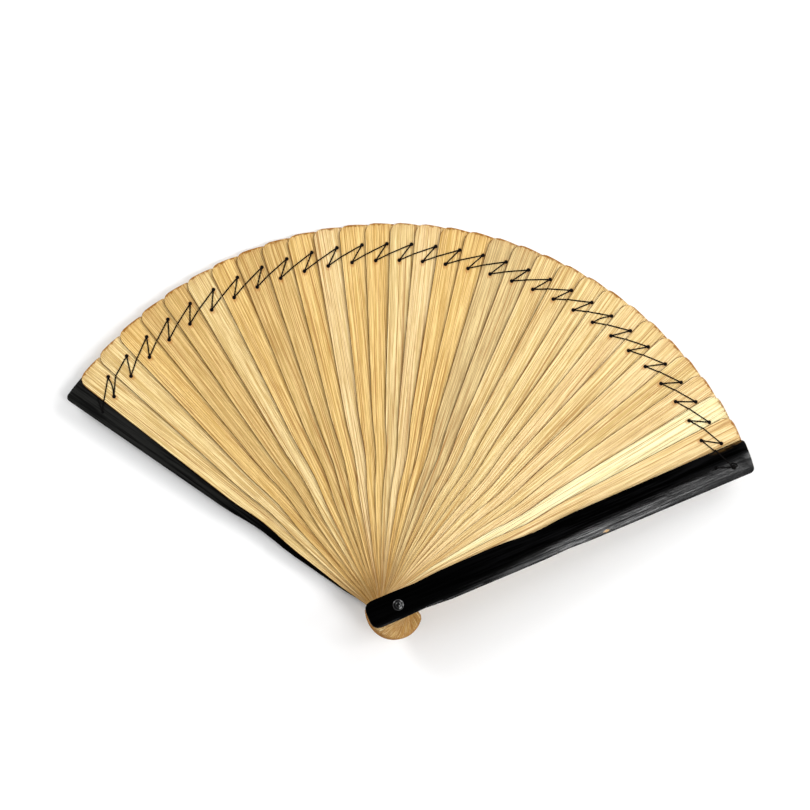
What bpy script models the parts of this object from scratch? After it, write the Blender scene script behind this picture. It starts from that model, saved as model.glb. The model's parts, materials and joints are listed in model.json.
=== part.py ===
"""A folding fan of bamboo blades between two black guards, lying open on a table.

Every stick turns on one rivet. A front and a rear lacing thread run from stick to stick near
the tips, dip into two small holes in each stick and stop the fan at its full spread.
The origin is the middle of the rivet's flat rear head, and +Z is up.
"""

import math

import bmesh
import bpy
from mathutils import Matrix, Vector

MM = 0.001

# Sticks: thirty blades between two guards, numbered from the rear guard, which is stick 0
BLADE_COUNT = 30
FRONT_GUARD = BLADE_COUNT + 1
FULL_SPREAD = math.radians(122.0)  # from the rear guard's middle line to the front guard's
REAR_STEP = math.radians(3.15)  # from the rear guard to the first blade
FRONT_STEP = math.radians(4.2)  # from the last blade to the front guard
BLADE_STEP = (FULL_SPREAD - REAR_STEP - FRONT_STEP) / (BLADE_COUNT - 1)
BLADE_LAGS = (2.4, 0.64, -0.02)  # degrees; see heading()
BLADE_THICKNESS = 0.6 * MM
GUARD_THICKNESS = 2.2 * MM
STICK_GAP = 0.5 * MM  # play between two neighbouring sticks

# Outline of a stick, from the pivot out to the tip
TIP_RADIUS = 212.0 * MM
TIP_HALF_WIDTH = 9.2 * MM
FRONT_TIP_HALF_WIDTH = 9.5 * MM
TIP_CORNER = 2.5 * MM
BLADE_LEFT_CORNER = 5.5 * MM
TIP_CROWN = 0.7 * MM  # fall of the tip from its left corner to its right one
LEFT_WAIST = (84.0 * MM, 1.4 * MM, 24.0 * MM)  # distance from the pivot, depth and half length
RIGHT_WAIST = (98.0 * MM, 0.5 * MM, 15.0 * MM)
SHOULDER_RADIUS = 28.0 * MM
SHOULDER_HALF_WIDTH = 8.1 * MM
REAR_SHOULDER_HALF_WIDTH = 7.2 * MM
FRONT_SHOULDER_HALF_WIDTH = 8.4 * MM
NECK_RADIUS = 13.0 * MM
NECK_HALF_WIDTH = 7.3 * MM
REAR_NECK_HALF_WIDTH = 6.2 * MM
TAIL_HALF_WIDTH = 7.7 * MM
TAIL_CORNER = 4.5 * MM
BLADE_TAIL = 17.8 * MM
REAR_TAIL = 14.0 * MM
FRONT_TAIL = 17.5 * MM
GUARD_ROUNDING = 0.5 * MM  # of the edges of a guard's outer face

# Rivet, and the domed washer under its closed end
SHANK_RADIUS = 1.0 * MM
SHANK_CLEARANCE = 0.3 * MM
HEAD_RADIUS = 3.2 * MM
HEAD_HEIGHT = 0.8 * MM
HEAD_CHAMFER = 0.2 * MM
SEAT_GAP = 0.25 * MM  # between a head or washer and what it bears on
WASHER_RADIUS = 3.1 * MM
WASHER_RIM = 0.35 * MM
WASHER_HEIGHT = 1.1 * MM
CLOSED_END_RADIUS = 1.7 * MM
CLOSED_END_HEIGHT = 0.6 * MM

# Lacing: an inner hole in each stick's left half, and an outer hole beside the next stick's edge
THREAD_RADIUS = 0.2 * MM
THREAD_CLEARANCE = 0.05 * MM
LACE_HOLE_RADIUS = 0.8 * MM
INNER_HOLE_FROM_TIP = 21.0 * MM
INNER_HOLE_FROM_EDGE = 5.6 * MM
FRONT_INNER_HOLE_FROM_EDGE = 8.9 * MM
OUTER_HOLE_FROM_TIP = 11.7 * MM
OUTER_HOLE_FROM_NEXT_EDGE = 1.7 * MM
TURN_HALF_WIDTH = 0.28 * MM  # a thread's two legs in a hole lie this far from its middle
DIP_LENGTH = 0.5 * MM  # along the thread, from a stick's face down to the turn in the hole
KNOT_RADIUS = 0.75 * MM

# Facets
CORNER_STEPS = 3
LEFT_CORNER_STEPS = 4
LEFT_WAIST_STEPS = 6
RIGHT_WAIST_STEPS = 4
ROUNDING_STEPS = 2
PIVOT_HOLE_SIDES = 12
LACE_HOLE_SIDES = 8
THREAD_SIDES = 5
TURNED_STEPS = 24
MERGE_DISTANCE = 0.001 * MM

UP = Vector((0.0, 0.0, 1.0))


def thickness(stick):
    """Thickness of one stick."""
    return GUARD_THICKNESS if stick in (0, FRONT_GUARD) else BLADE_THICKNESS


def underside(stick):
    """Height of a stick's rear face in the fan's own frame."""
    below = sum(thickness(lower) + STICK_GAP for lower in range(stick))
    return HEAD_HEIGHT + SEAT_GAP + below


def face(stick):
    """Height of a stick's front face in the fan's own frame."""
    return underside(stick) + thickness(stick)


def heading(stick):
    """Angle that a stick is turned from the fan's middle line, positive to the left.

    The blades aren't spread quite evenly. Between the first and the last they lag towards the
    front guard by a sum of sine waves with one, two and three halves.
    """
    if stick == 0:
        return FULL_SPREAD / 2
    if stick == FRONT_GUARD:
        return -FULL_SPREAD / 2
    share = math.pi * (stick - 1) / (BLADE_COUNT - 1)
    lag = sum(size * math.sin(halves * share) for halves, size in enumerate(BLADE_LAGS, 1))
    return FULL_SPREAD / 2 - REAR_STEP - (stick - 1) * BLADE_STEP - math.radians(lag)


def in_fan(stick, point, height):
    """A point on a stick, as a point of the fan's own frame."""
    flat = Matrix.Rotation(heading(stick), 2) @ point
    return Vector((flat.x, flat.y, height))


def inner_hole(stick):
    """Middle of a stick's inner lacing hole, which the front guard has further to the right."""
    across = INNER_HOLE_FROM_EDGE - TIP_HALF_WIDTH
    if stick == FRONT_GUARD:
        across = FRONT_INNER_HOLE_FROM_EDGE - FRONT_TIP_HALF_WIDTH
    return Vector((across, TIP_RADIUS - INNER_HOLE_FROM_TIP))


def outer_hole():
    """Middle of a stick's outer lacing hole, just clear of the next blade's left edge."""
    radius = TIP_RADIUS - OUTER_HOLE_FROM_TIP
    next_edge = radius * math.sin(BLADE_STEP) - TIP_HALF_WIDTH
    return Vector((next_edge - OUTER_HOLE_FROM_NEXT_EDGE, radius))


def half_widths(stick):
    """Half a stick's width at its tip, shoulder and neck."""
    if stick == 0:
        return TIP_HALF_WIDTH, REAR_SHOULDER_HALF_WIDTH, REAR_NECK_HALF_WIDTH
    if stick == FRONT_GUARD:
        return FRONT_TIP_HALF_WIDTH, FRONT_SHOULDER_HALF_WIDTH, NECK_HALF_WIDTH
    return TIP_HALF_WIDTH, SHOULDER_HALF_WIDTH, NECK_HALF_WIDTH


def half_width(stick, radius):
    """Half a stick's width at a distance from the pivot, beyond the shoulder."""
    at_tip, at_shoulder, _ = half_widths(stick)
    share = (radius - SHOULDER_RADIUS) / (TIP_RADIUS - SHOULDER_RADIUS)
    return at_shoulder + share * (at_tip - at_shoulder)


def tail_length(stick):
    """How far a stick reaches behind the pivot."""
    return {0: REAR_TAIL, FRONT_GUARD: FRONT_TAIL}.get(stick, BLADE_TAIL)


def arc(centre, radius, start, end, steps):
    """Points along an arc, its ends included; angles in degrees."""
    angles = [math.radians(start + (end - start) * i / steps) for i in range(steps + 1)]
    return [centre + radius * Vector((math.cos(a), math.sin(a))) for a in angles]


def circle(centre, radius, sides):
    """Points round a circle."""
    return arc(centre, radius, 0, 360, sides)[:-1]


def mirrored(points):
    """The same points on the other side of a stick's middle line, in reverse."""
    return [Vector((-point.x, point.y)) for point in reversed(points)]


def tip_points(stick, inset):
    """The tip, from the foot of its right corner to the foot of its left corner."""
    reach = half_width(stick, TIP_RADIUS)
    left_corner = TIP_CORNER if stick in (0, FRONT_GUARD) else BLADE_LEFT_CORNER
    right_centre = Vector((reach - TIP_CORNER, TIP_RADIUS - TIP_CROWN - TIP_CORNER))
    left_centre = Vector((left_corner - reach, TIP_RADIUS - left_corner))
    right = arc(right_centre, TIP_CORNER - inset, 0, 90, CORNER_STEPS)
    left = arc(left_centre, left_corner - inset, 90, 180, LEFT_CORNER_STEPS)
    crown = []
    for share in (2 / 3, 1 / 3):
        across = left[0].x + share * (right[-1].x - left[0].x)
        crown.append(Vector((across, left[0].y - share * share * TIP_CROWN)))
    return right + crown + left


def side_points(stick, inset):
    """The right edge from the pivot to the shoulder, drawn in smoothly at the neck."""
    _, at_shoulder, at_neck = half_widths(stick)
    stations = (
        (0.0, TAIL_HALF_WIDTH),
        (NECK_RADIUS, at_neck),
        (SHOULDER_RADIUS, at_shoulder),
    )
    points = [Vector((TAIL_HALF_WIDTH - inset, 0.0))]
    for (low, low_width), (high, high_width) in zip(stations, stations[1:]):
        for share in (0.5, 1.0):
            ease = share * share * (3 - 2 * share)
            width = low_width + ease * (high_width - low_width)
            points.append(Vector((width - inset, low + share * (high - low))))
    return points


def waist_points(stick, inset, waist, steps):
    """The right edge beyond the shoulder, drawn in smoothly at a shallow waist."""
    middle, depth, reach = waist
    points = []
    for i in range(steps + 1):
        share = 2 * i / steps - 1
        radius = middle + share * reach
        bite = depth * math.cos(math.pi / 2 * share) ** 2
        points.append(Vector((half_width(stick, radius) - bite - inset, radius)))
    return points


def stick_outline(stick, inset=0.0):
    """A stick's outline, anticlockwise, with the pivot at the origin and the tip towards +Y."""
    centre = Vector((TAIL_HALF_WIDTH - TAIL_CORNER, TAIL_CORNER - tail_length(stick)))
    corner = arc(centre, TAIL_CORNER - inset, -90, 0, CORNER_STEPS)
    foot = corner + side_points(stick, inset)
    right = waist_points(stick, inset, RIGHT_WAIST, RIGHT_WAIST_STEPS)
    left = waist_points(stick, inset, LEFT_WAIST, LEFT_WAIST_STEPS)
    return foot + right + tip_points(stick, inset) + mirrored(foot + left)


def add_ring(bm, points, height):
    """A closed ring of vertices at one height."""
    return [bm.verts.new((point.x, point.y, height)) for point in points]


def bridge(bm, lower, upper):
    """Four-sided faces between two rings with the same number of vertices."""
    for i in range(len(lower)):
        bm.faces.new((lower[i - 1], lower[i], upper[i], upper[i - 1]))


def ring_edges(bm, ring):
    """The edges round a ring."""
    return [bm.edges.get((ring[i - 1], ring[i])) for i in range(len(ring))]


def stick_mesh(name, stick, levels):
    """A flat stick with its three holes, lofted through its outline at each (height, inset)."""
    bm = bmesh.new()
    walls = [[add_ring(bm, stick_outline(stick, inset), height) for height, inset in levels]]
    holes = (
        circle(Vector((0.0, 0.0)), SHANK_RADIUS + SHANK_CLEARANCE, PIVOT_HOLE_SIDES),
        circle(inner_hole(stick), LACE_HOLE_RADIUS, LACE_HOLE_SIDES),
        circle(outer_hole(), LACE_HOLE_RADIUS, LACE_HOLE_SIDES),
    )
    for hole in holes:
        walls.append([add_ring(bm, hole, levels[0][0]), add_ring(bm, hole, levels[-1][0])])
    for rings in walls:
        for lower, upper in zip(rings, rings[1:]):
            bridge(bm, lower, upper)
    for end in (0, -1):
        edges = [edge for rings in walls for edge in ring_edges(bm, rings[end])]
        bmesh.ops.triangle_fill(bm, use_beauty=True, edges=edges, normal=UP)
    bmesh.ops.recalc_face_normals(bm, faces=bm.faces)
    return finished_mesh(bm, name)


def rounded_levels(depth, rounding, outer_up):
    """Levels of a plate whose edge is rounded on its upper side, or on its lower side."""
    levels = [(0.0, 0.0)]
    for i in range(ROUNDING_STEPS + 1):
        angle = math.pi / 2 * i / ROUNDING_STEPS
        height = depth - rounding + rounding * math.sin(angle)
        levels.append((height, rounding * (1 - math.cos(angle))))
    if outer_up:
        return levels
    return [(depth - height, inset) for height, inset in reversed(levels)]


def finished_mesh(bm, name):
    """The bmesh as mesh data."""
    mesh = bpy.data.meshes.new(name)
    bm.to_mesh(mesh)
    bm.free()
    return mesh


def turned_mesh(name, profile):
    """A solid of revolution about Z, from a closed profile of (radius, height) points."""
    bm = bmesh.new()
    verts = [bm.verts.new((radius, 0.0, height)) for radius, height in profile]
    edges = [bm.edges.new((verts[i - 1], verts[i])) for i in range(len(verts))]
    on_axis = [edge for edge in edges if all(vert.co.x < MERGE_DISTANCE for vert in edge.verts)]
    bmesh.ops.delete(bm, geom=on_axis, context="EDGES")
    bmesh.ops.spin(
        bm,
        geom=bm.verts[:] + bm.edges[:],
        cent=(0.0, 0.0, 0.0),
        axis=UP,
        angle=2 * math.pi,
        steps=TURNED_STEPS,
        use_merge=True,
    )
    bmesh.ops.remove_doubles(bm, verts=bm.verts, dist=MERGE_DISTANCE)
    flat = [face for face in bm.faces if max(vert.co.z for vert in face.verts) < MERGE_DISTANCE]
    bmesh.ops.dissolve_faces(bm, faces=flat)
    bmesh.ops.recalc_face_normals(bm, faces=bm.faces)
    return finished_mesh(bm, name)


def rivet_profile():
    """The flat rear head, the shank through the sticks and the closed end over the washer."""
    washer_top = face(FRONT_GUARD) + SEAT_GAP + WASHER_HEIGHT
    closed_foot = washer_top + SEAT_GAP
    return (
        (0.0, 0.0),
        (HEAD_RADIUS - HEAD_CHAMFER, 0.0),
        (HEAD_RADIUS, HEAD_CHAMFER),
        (HEAD_RADIUS, HEAD_HEIGHT),
        (SHANK_RADIUS, HEAD_HEIGHT),
        (SHANK_RADIUS, closed_foot),
        (CLOSED_END_RADIUS, closed_foot),
        (0.9 * CLOSED_END_RADIUS, closed_foot + 0.5 * CLOSED_END_HEIGHT),
        (0.5 * CLOSED_END_RADIUS, closed_foot + 0.9 * CLOSED_END_HEIGHT),
        (0.0, closed_foot + CLOSED_END_HEIGHT),
    )


def washer_profile():
    """A washer domed on its front, from its bore out to its rim and back under the dome."""
    foot = face(FRONT_GUARD) + SEAT_GAP
    bore = SHANK_RADIUS + SHANK_CLEARANCE
    profile = [(bore, foot), (WASHER_RADIUS, foot), (WASHER_RADIUS, foot + WASHER_RIM)]
    for share in (0.75, 0.5, 0.25):
        rise = (WASHER_HEIGHT - WASHER_RIM) * math.sqrt(1 - share * share)
        radius = bore + share * (WASHER_RADIUS - bore)
        profile.append((radius, foot + WASHER_RIM + rise))
    profile.append((bore, foot + WASHER_HEIGHT))
    return profile


def hole_on(stick, hole):
    """The middle of one of a stick's lacing holes, in plan."""
    return in_fan(stick, hole, 0.0)


def turn_in_hole(before, hole, after, level, side):
    """Four thread points: down into a hole, across it and out again.

    level is the height of the face that the thread lies on, and side is 1 for a front face
    and -1 for a rear face.
    """
    arriving = (hole - before).normalized()
    leaving = (after - hole).normalized()
    across = (arriving + leaving).normalized()
    on_face = level + side * (THREAD_RADIUS + THREAD_CLEARANCE)
    entry = hole - TURN_HALF_WIDTH * across
    exit_ = hole + TURN_HALF_WIDTH * across
    points = [entry - DIP_LENGTH * arriving, entry, exit_, exit_ + DIP_LENGTH * leaving]
    heights = (on_face, level, level, on_face)
    return [Vector((p.x, p.y, height)) for p, height in zip(points, heights)]


def edge_crossing(stick, side):
    """Where the thread's link from one stick to the next bends over an edge.

    A front link climbs over the next stick's left edge, and a rear link passes under this
    stick's right edge before it climbs.
    """
    edge_of = stick + 1 if side > 0 else stick
    start = Matrix.Rotation(heading(stick) - heading(edge_of), 2) @ inner_hole(stick)
    end = Matrix.Rotation(heading(stick + 1) - heading(edge_of), 2) @ outer_hole()
    margin = THREAD_RADIUS + THREAD_CLEARANCE
    edge = -side * (half_width(edge_of, start.y) + margin)
    point = start.lerp(end, (edge - start.x) / (end.x - start.x))
    level = face(edge_of) if side > 0 else underside(edge_of)
    return in_fan(edge_of, point, level + side * margin)


def lacing_route(side):
    """The thread's middle line between its two end holes, on the front (1) or the rear (-1)."""
    level = face if side > 0 else underside
    route = []
    for stick in range(FRONT_GUARD + 1):
        inner = hole_on(stick, inner_hole(stick))
        outer = hole_on(stick, outer_hole())
        if 0 < stick < FRONT_GUARD:
            before = hole_on(stick - 1, inner_hole(stick - 1))
            route += turn_in_hole(before, outer, inner, level(stick), side)
        if stick < FRONT_GUARD:
            after = hole_on(stick + 1, outer_hole())
            route += turn_in_hole(outer, inner, after, level(stick), side)
            route.append(edge_crossing(stick, side))
    return route


def knot(middle, direction):
    """Middle-line points and radii of a round knot on the thread."""
    profile = ((-1.0, 0.25), (-0.7, 0.75), (0.0, 1.0), (0.7, 0.75), (1.0, 0.25))
    reach = 1.1 * KNOT_RADIUS
    return [(middle + along * reach * direction, size * KNOT_RADIUS) for along, size in profile]


def front_thread_points():
    """The front thread: knotted behind the rear guard, and again on the front guard."""
    margin = THREAD_RADIUS + THREAD_CLEARANCE
    first = hole_on(0, outer_hole())
    last = hole_on(FRONT_GUARD, outer_hole())
    knot_offset = KNOT_RADIUS + THREAD_CLEARANCE
    points = knot(first + (underside(0) - knot_offset - margin) * UP, UP)
    points.append((first + (face(0) + margin) * UP, THREAD_RADIUS))
    points += [(point, THREAD_RADIUS) for point in lacing_route(1)]
    arriving = (last - hole_on(BLADE_COUNT, inner_hole(BLADE_COUNT))).normalized()
    approach = last - 3 * KNOT_RADIUS * arriving + (face(FRONT_GUARD) + margin) * UP
    points.append((approach, THREAD_RADIUS))
    return points + knot(last + (face(FRONT_GUARD) + knot_offset) * UP, arriving)


def rear_thread_points():
    """The rear thread: from one knot, along the rear, up through the front guard to the other."""
    margin = THREAD_RADIUS + THREAD_CLEARANCE
    first = hole_on(0, outer_hole())
    leaving = (hole_on(0, inner_hole(0)) - first).normalized()
    start = first + 2 * KNOT_RADIUS * leaving + (underside(0) - margin) * UP
    way_up = hole_on(FRONT_GUARD, inner_hole(FRONT_GUARD))
    last = hole_on(FRONT_GUARD, outer_hole())
    beside_knot = last + 2 * KNOT_RADIUS * (way_up - last).normalized()
    below = (underside(FRONT_GUARD) - margin) * UP
    above = (face(FRONT_GUARD) + margin) * UP
    route = [start] + lacing_route(-1) + [way_up + below, way_up + above, beside_knot + above]
    return [(point, THREAD_RADIUS) for point in route]


def thread_mesh(name, points):
    """A closed tube through (point, radius) pairs, mitred at each bend."""
    bm = bmesh.new()
    places = [place for place, radius in points]
    runs = [(b - a).normalized() for a, b in zip(places, places[1:])]
    run_in = [runs[0]] + runs
    run_out = runs + [runs[-1]]
    side = runs[0].orthogonal().normalized()
    rings = []
    for (place, radius), before, after in zip(points, run_in, run_out):
        cross = before.cross(side)
        mitre = (before + after).normalized()
        ring = []
        for i in range(THREAD_SIDES):
            angle = 2 * math.pi * i / THREAD_SIDES
            spoke = radius * (math.cos(angle) * side + math.sin(angle) * cross)
            slide = spoke.dot(mitre) / before.dot(mitre)
            ring.append(bm.verts.new(place + spoke - slide * before))
        rings.append(ring)
        side = before.rotation_difference(after) @ side
    for lower, upper in zip(rings, rings[1:]):
        bridge(bm, lower, upper)
    bm.faces.new(rings[0])
    bm.faces.new(rings[-1])
    bmesh.ops.recalc_face_normals(bm, faces=bm.faces)
    return finished_mesh(bm, name)


def material(name, colour, roughness, metallic=0.0):
    """A plain Principled material."""
    made = bpy.data.materials.new(name)
    made.use_nodes = True
    shader = made.node_tree.nodes["Principled BSDF"]
    shader.inputs["Base Color"].default_value = (*colour, 1.0)
    shader.inputs["Roughness"].default_value = roughness
    shader.inputs["Metallic"].default_value = metallic
    return made


def bamboo(stick):
    """Bamboo for one blade: its tone wanders from blade to blade between straw and tan."""
    tone = 0.5 + 0.5 * math.sin(2.4 * stick)
    straw = Vector((0.74, 0.52, 0.26))
    tan = Vector((0.55, 0.36, 0.17))
    return material(f"bamboo_{stick:02d}", tan.lerp(straw, tone), 0.5)


def place(name, mesh, parent, look, height=0.0, turn=0.0):
    """One named piece on the pivot's axis, at a height and an angle in the fan's own frame."""
    mesh.materials.append(look)
    piece = bpy.data.objects.new(name, mesh)
    piece.parent = parent
    piece.location = (0.0, 0.0, height)
    piece.rotation_euler = (0.0, 0.0, turn)
    bpy.context.scene.collection.objects.link(piece)
    return piece


def smooth(mesh):
    """Shade a round piece smooth, with its sharp edges kept."""
    mesh.shade_smooth()
    mesh.set_sharp_from_angle(angle=math.radians(40))
    return mesh


def resting_frame():
    """The fan's own frame: the open fan leans on its rivet and on the tips of its middle blades.

    The blades' tips climb from left to right, so the plane that touches the middle tips falls
    away outwards, the way they point, by their height and sideways by their climb.
    """
    middle_height = (underside(0) + face(FRONT_GUARD)) / 2
    climb = (BLADE_THICKNESS + STICK_GAP) / BLADE_STEP
    sideways = math.atan2(climb, TIP_RADIUS)
    outwards = math.atan2(middle_height, math.hypot(TIP_RADIUS, climb))
    lean = Matrix.Rotation(-outwards, 4, "X") @ Matrix.Rotation(sideways, 4, "Y")
    turn = Matrix.Rotation(heading(FRONT_GUARD / 2), 4, "Z")
    frame = bpy.data.objects.new("resting_frame", None)
    frame.matrix_world = turn @ lean @ turn.transposed()
    bpy.context.scene.collection.objects.link(frame)
    return frame


def build_guards(parent):
    """The two black guards, rounded on their outer faces."""
    lacquer = material("black_lacquer", (0.012, 0.012, 0.013), 0.35)
    guards = (("rear_guard", 0, False), ("front_guard", FRONT_GUARD, True))
    for name, stick, outer_up in guards:
        levels = rounded_levels(GUARD_THICKNESS, GUARD_ROUNDING, outer_up)
        mesh = stick_mesh(name, stick, levels)
        place(name, mesh, parent, lacquer, underside(stick), heading(stick))


def build_blades(parent):
    """The bamboo blades, each its own solid and its own tone."""
    levels = ((0.0, 0.0), (BLADE_THICKNESS, 0.0))
    for stick in range(1, FRONT_GUARD):
        name = f"blade_{stick:02d}"
        mesh = stick_mesh(name, stick, levels)
        place(name, mesh, parent, bamboo(stick), underside(stick), heading(stick))


def build_rivet(parent):
    """The rivet and its front washer."""
    metal = material("black_rivet", (0.02, 0.02, 0.022), 0.25, 0.6)
    place("pivot_rivet", smooth(turned_mesh("pivot_rivet", rivet_profile())), parent, metal)
    place("front_washer", smooth(turned_mesh("front_washer", washer_profile())), parent, metal)


def build_lacing(parent):
    """The two lacing threads, which lock in the sticks' holes from the front and the rear."""
    cotton = material("black_thread", (0.015, 0.014, 0.014), 0.8)
    front = thread_mesh("lacing_front", front_thread_points())
    rear = thread_mesh("lacing_rear", rear_thread_points())
    place("lacing_front", smooth(front), parent, cotton)
    place("lacing_rear", smooth(rear), parent, cotton)


def main():
    """Build the fan, open."""
    for old in list(bpy.data.objects):
        bpy.data.objects.remove(old, do_unlink=True)
    fan = resting_frame()
    build_guards(fan)
    build_blades(fan)
    build_rivet(fan)
    build_lacing(fan)
    bpy.context.view_layer.update()


main()
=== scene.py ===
"""Looks for the open folding fan: camera, floor, light, bamboo, lacquer, rivet and lacing.

Lengths are in metres. A stick's own frame has its pivot at the origin, +Y out to its tip and +Z
along the rivet, so most sizes here are given in that frame.
"""

import json
import math

import bmesh
import bpy
from mathutils import Matrix, Vector, noise


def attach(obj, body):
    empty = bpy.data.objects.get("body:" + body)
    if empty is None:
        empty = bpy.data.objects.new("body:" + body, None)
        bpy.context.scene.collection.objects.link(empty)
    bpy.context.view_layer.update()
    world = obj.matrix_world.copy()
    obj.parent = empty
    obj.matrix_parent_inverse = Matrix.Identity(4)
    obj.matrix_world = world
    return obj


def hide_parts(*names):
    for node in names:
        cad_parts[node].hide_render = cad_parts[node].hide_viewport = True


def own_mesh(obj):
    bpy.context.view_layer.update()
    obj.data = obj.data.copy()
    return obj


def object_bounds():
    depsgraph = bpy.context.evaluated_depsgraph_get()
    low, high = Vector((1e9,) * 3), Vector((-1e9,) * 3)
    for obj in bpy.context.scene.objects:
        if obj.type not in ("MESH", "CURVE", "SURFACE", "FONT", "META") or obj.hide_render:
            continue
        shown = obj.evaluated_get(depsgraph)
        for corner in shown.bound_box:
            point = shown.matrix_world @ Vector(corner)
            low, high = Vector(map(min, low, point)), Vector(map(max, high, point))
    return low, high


MM = 0.001

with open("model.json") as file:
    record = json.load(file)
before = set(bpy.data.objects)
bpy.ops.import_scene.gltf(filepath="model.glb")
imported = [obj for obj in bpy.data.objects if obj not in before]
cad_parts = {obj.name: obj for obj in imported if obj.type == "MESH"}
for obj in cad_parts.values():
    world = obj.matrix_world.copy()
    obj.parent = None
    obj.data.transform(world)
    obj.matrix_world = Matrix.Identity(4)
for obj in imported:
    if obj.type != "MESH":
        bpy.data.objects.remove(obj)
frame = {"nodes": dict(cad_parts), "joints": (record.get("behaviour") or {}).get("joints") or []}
cad_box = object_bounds()

HINGE = next(joint for joint in frame["joints"] if joint["name"] == "front_guard_hinge")
PIVOT = Vector(HINGE["pos_m"])
AXIS = Vector(HINGE["axis"]).normalized()
UP = Vector((0.0, 0.0, 1.0))

# Camera, fitted to the photograph
IMAGE_SIZE = 810  # pixels, each way
PIXELS_PER_METRE = 1821.0  # at the target
TARGET = Vector((-0.0037, 0.1118, 0.010))
DISTANCE = 1.5
AZIMUTH = math.radians(-40.6)
ELEVATION = math.radians(87.45)
ROLL = math.radians(46.6)

# Sticks, numbered from the rear guard, which is 0
BLADE_COUNT = 30
BLADES = [f"blade_{number:02d}" for number in range(1, BLADE_COUNT + 1)]
STICKS = ["rear_guard", *BLADES, "front_guard"]
FRONT = len(STICKS) - 1
BLADE_THICKNESS = 0.6 * MM
GUARD_THICKNESS = 2.2 * MM
STICK_GAP = 0.5 * MM
TIP_RADIUS = 212.0 * MM
HALF_WIDTH = 9.0 * MM  # roughly, near the tip
BLADE_ROUND = 0.26 * MM  # how far the long edges are eased
GUARD_ROUND = 0.22 * MM
REAR_CROWN = 0.45 * MM  # fall of the rear guard's outer face, from its middle line to its edges

# How a blade bows and twists between the rivet and the lacing
BOWED_LENGTH = 180.0 * MM
BOW = 0.05 * MM
BOW_WAVE = 55.0 * MM
TWIST = 0.05 * MM
TWIST_WAVE = 80.0 * MM

# Loops of edges across a stick, which let its surface change
FIRST_CUT = -12.0 * MM
CUT_EVERY = 6.0 * MM
LAST_CUT = TIP_RADIUS - 3.0 * MM

# What counts as the same, as flat or as sharp
SAME_PLACE = 0.001 * MM
MERGE = 0.002 * MM  # vertices of a stick that lie closer are made one
FLAT_ANGLE = math.radians(1.0)  # faces of a stick that meet at less are made one
SHARP_ANGLE = math.radians(35)  # faces that meet at more show an edge
FLAT_BEFORE = 0.9  # least Z of a flat face's normal, before a stick's edges are eased
FLAT_AFTER = 0.98  # and after

# Front guard's ridge, where its flat side turns into its sloping one
RIDGE_AT_TIP = Vector((-1.5, 200.0)) * MM
RIDGE_LEAN = 0.032  # how far the ridge moves to the right for each length towards the pivot
RIDGE_AT_RIVET = RIDGE_AT_TIP.x / MM + RIDGE_LEAN * RIDGE_AT_TIP.y / MM  # millimetres
RIDGE_CUTS = [step * MM for step in (0.0, 0.6, 1.3, 2.2, 3.2, 4.4, 5.8, 7.4, 9.2)]  # past the ridge
SLOPE_RADIUS = 30.0 * MM
SLOPE_START = 12.0 * MM  # from the pivot
SLOPE_FADE = 80.0 * MM  # from there to the full slope

# Lacing holes, in a stick's own frame
HOLE_RADIUS = 0.8 * MM
RIM_REACH = 1.2 * HOLE_RADIUS  # takes in the rim of a lacing hole
HOLE_REACH = 1.8 * HOLE_RADIUS  # takes in the rim of the wider bore as well
INNER_HOLE = Vector((-3.6, 191.0)) * MM
FRONT_INNER_HOLE = Vector((-0.6, 191.0)) * MM
OUTER_HOLE = Vector((2.91, 200.3)) * MM
LACING_HOLES = (INNER_HOLE, FRONT_INNER_HOLE, OUTER_HOLE)

# Thread
THREAD_RADIUS = 0.23 * MM  # across its thinner way, at right angles to the stick
THREAD_SPREAD = 1.75  # how much wider than that it is pressed
THREAD_SIDES = 8
THREAD_STEP = 0.15 * MM
RING_EVERY = 3  # steps between two rings of the thread's skin
SMOOTHINGS = 5  # times that a path's corners are rounded
PLY_LENGTH = 1.3 * MM  # of one full turn of the thread's two plies
PLY_GROOVE = 0.12  # half the groove's depth between them, as a share of the radius
UPRIGHT_PULL = 0.25  # how fast its flatter side turns back to the face it lies on
REST = THREAD_RADIUS + 0.02 * MM  # from a face to the middle of a thread that lies on it

# Route of the lacing
THREAD_START = OUTER_HOLE + Vector((-2.0, 0.5)) * MM  # the side it comes from on the rear guard
THREAD_END = Vector((0.0, 180.0)) * MM  # the side it turns to on the front guard
LOOSE_END = 6  # points left off its last loop
EDGE_CLEAR = 0.25 * MM  # from a stick's edge to the first point on its face
EDGE_DROP = 0.05 * MM  # from a face to the last point beside the edge
HOLE_CLEAR = 1.2 * MM  # from a hole's middle to the stretches on the face
RUN_STEPS = 8
BENDS = {1: 2.7 * MM, 29: 1.0 * MM}  # how far a link is pushed outwards at the edge it crosses
USUAL_BEND = 0.35 * MM
BEND_CHANGE = 0.3 * MM  # from link to link
BOWED_STITCHES = {1: 0.7 * MM, 23: -0.6 * MM}  # how far a stitch bows sideways
BOW_CHANGE = 0.15 * MM  # of the other stitches
LOOP_STEPS = 12  # in each turn
LOOP_LEAD = 1.0 * MM  # from a hole's middle to where its loops begin and end
LOOP_WIDE = 0.54 * MM
LOOP_NARROW = 0.32 * MM
NARROWS_FROM = 0.35  # share of a loop's way
NARROWS_OVER = 0.3
END_DIP = 0.4  # share of its full dip that a loop has at its ends

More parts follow.
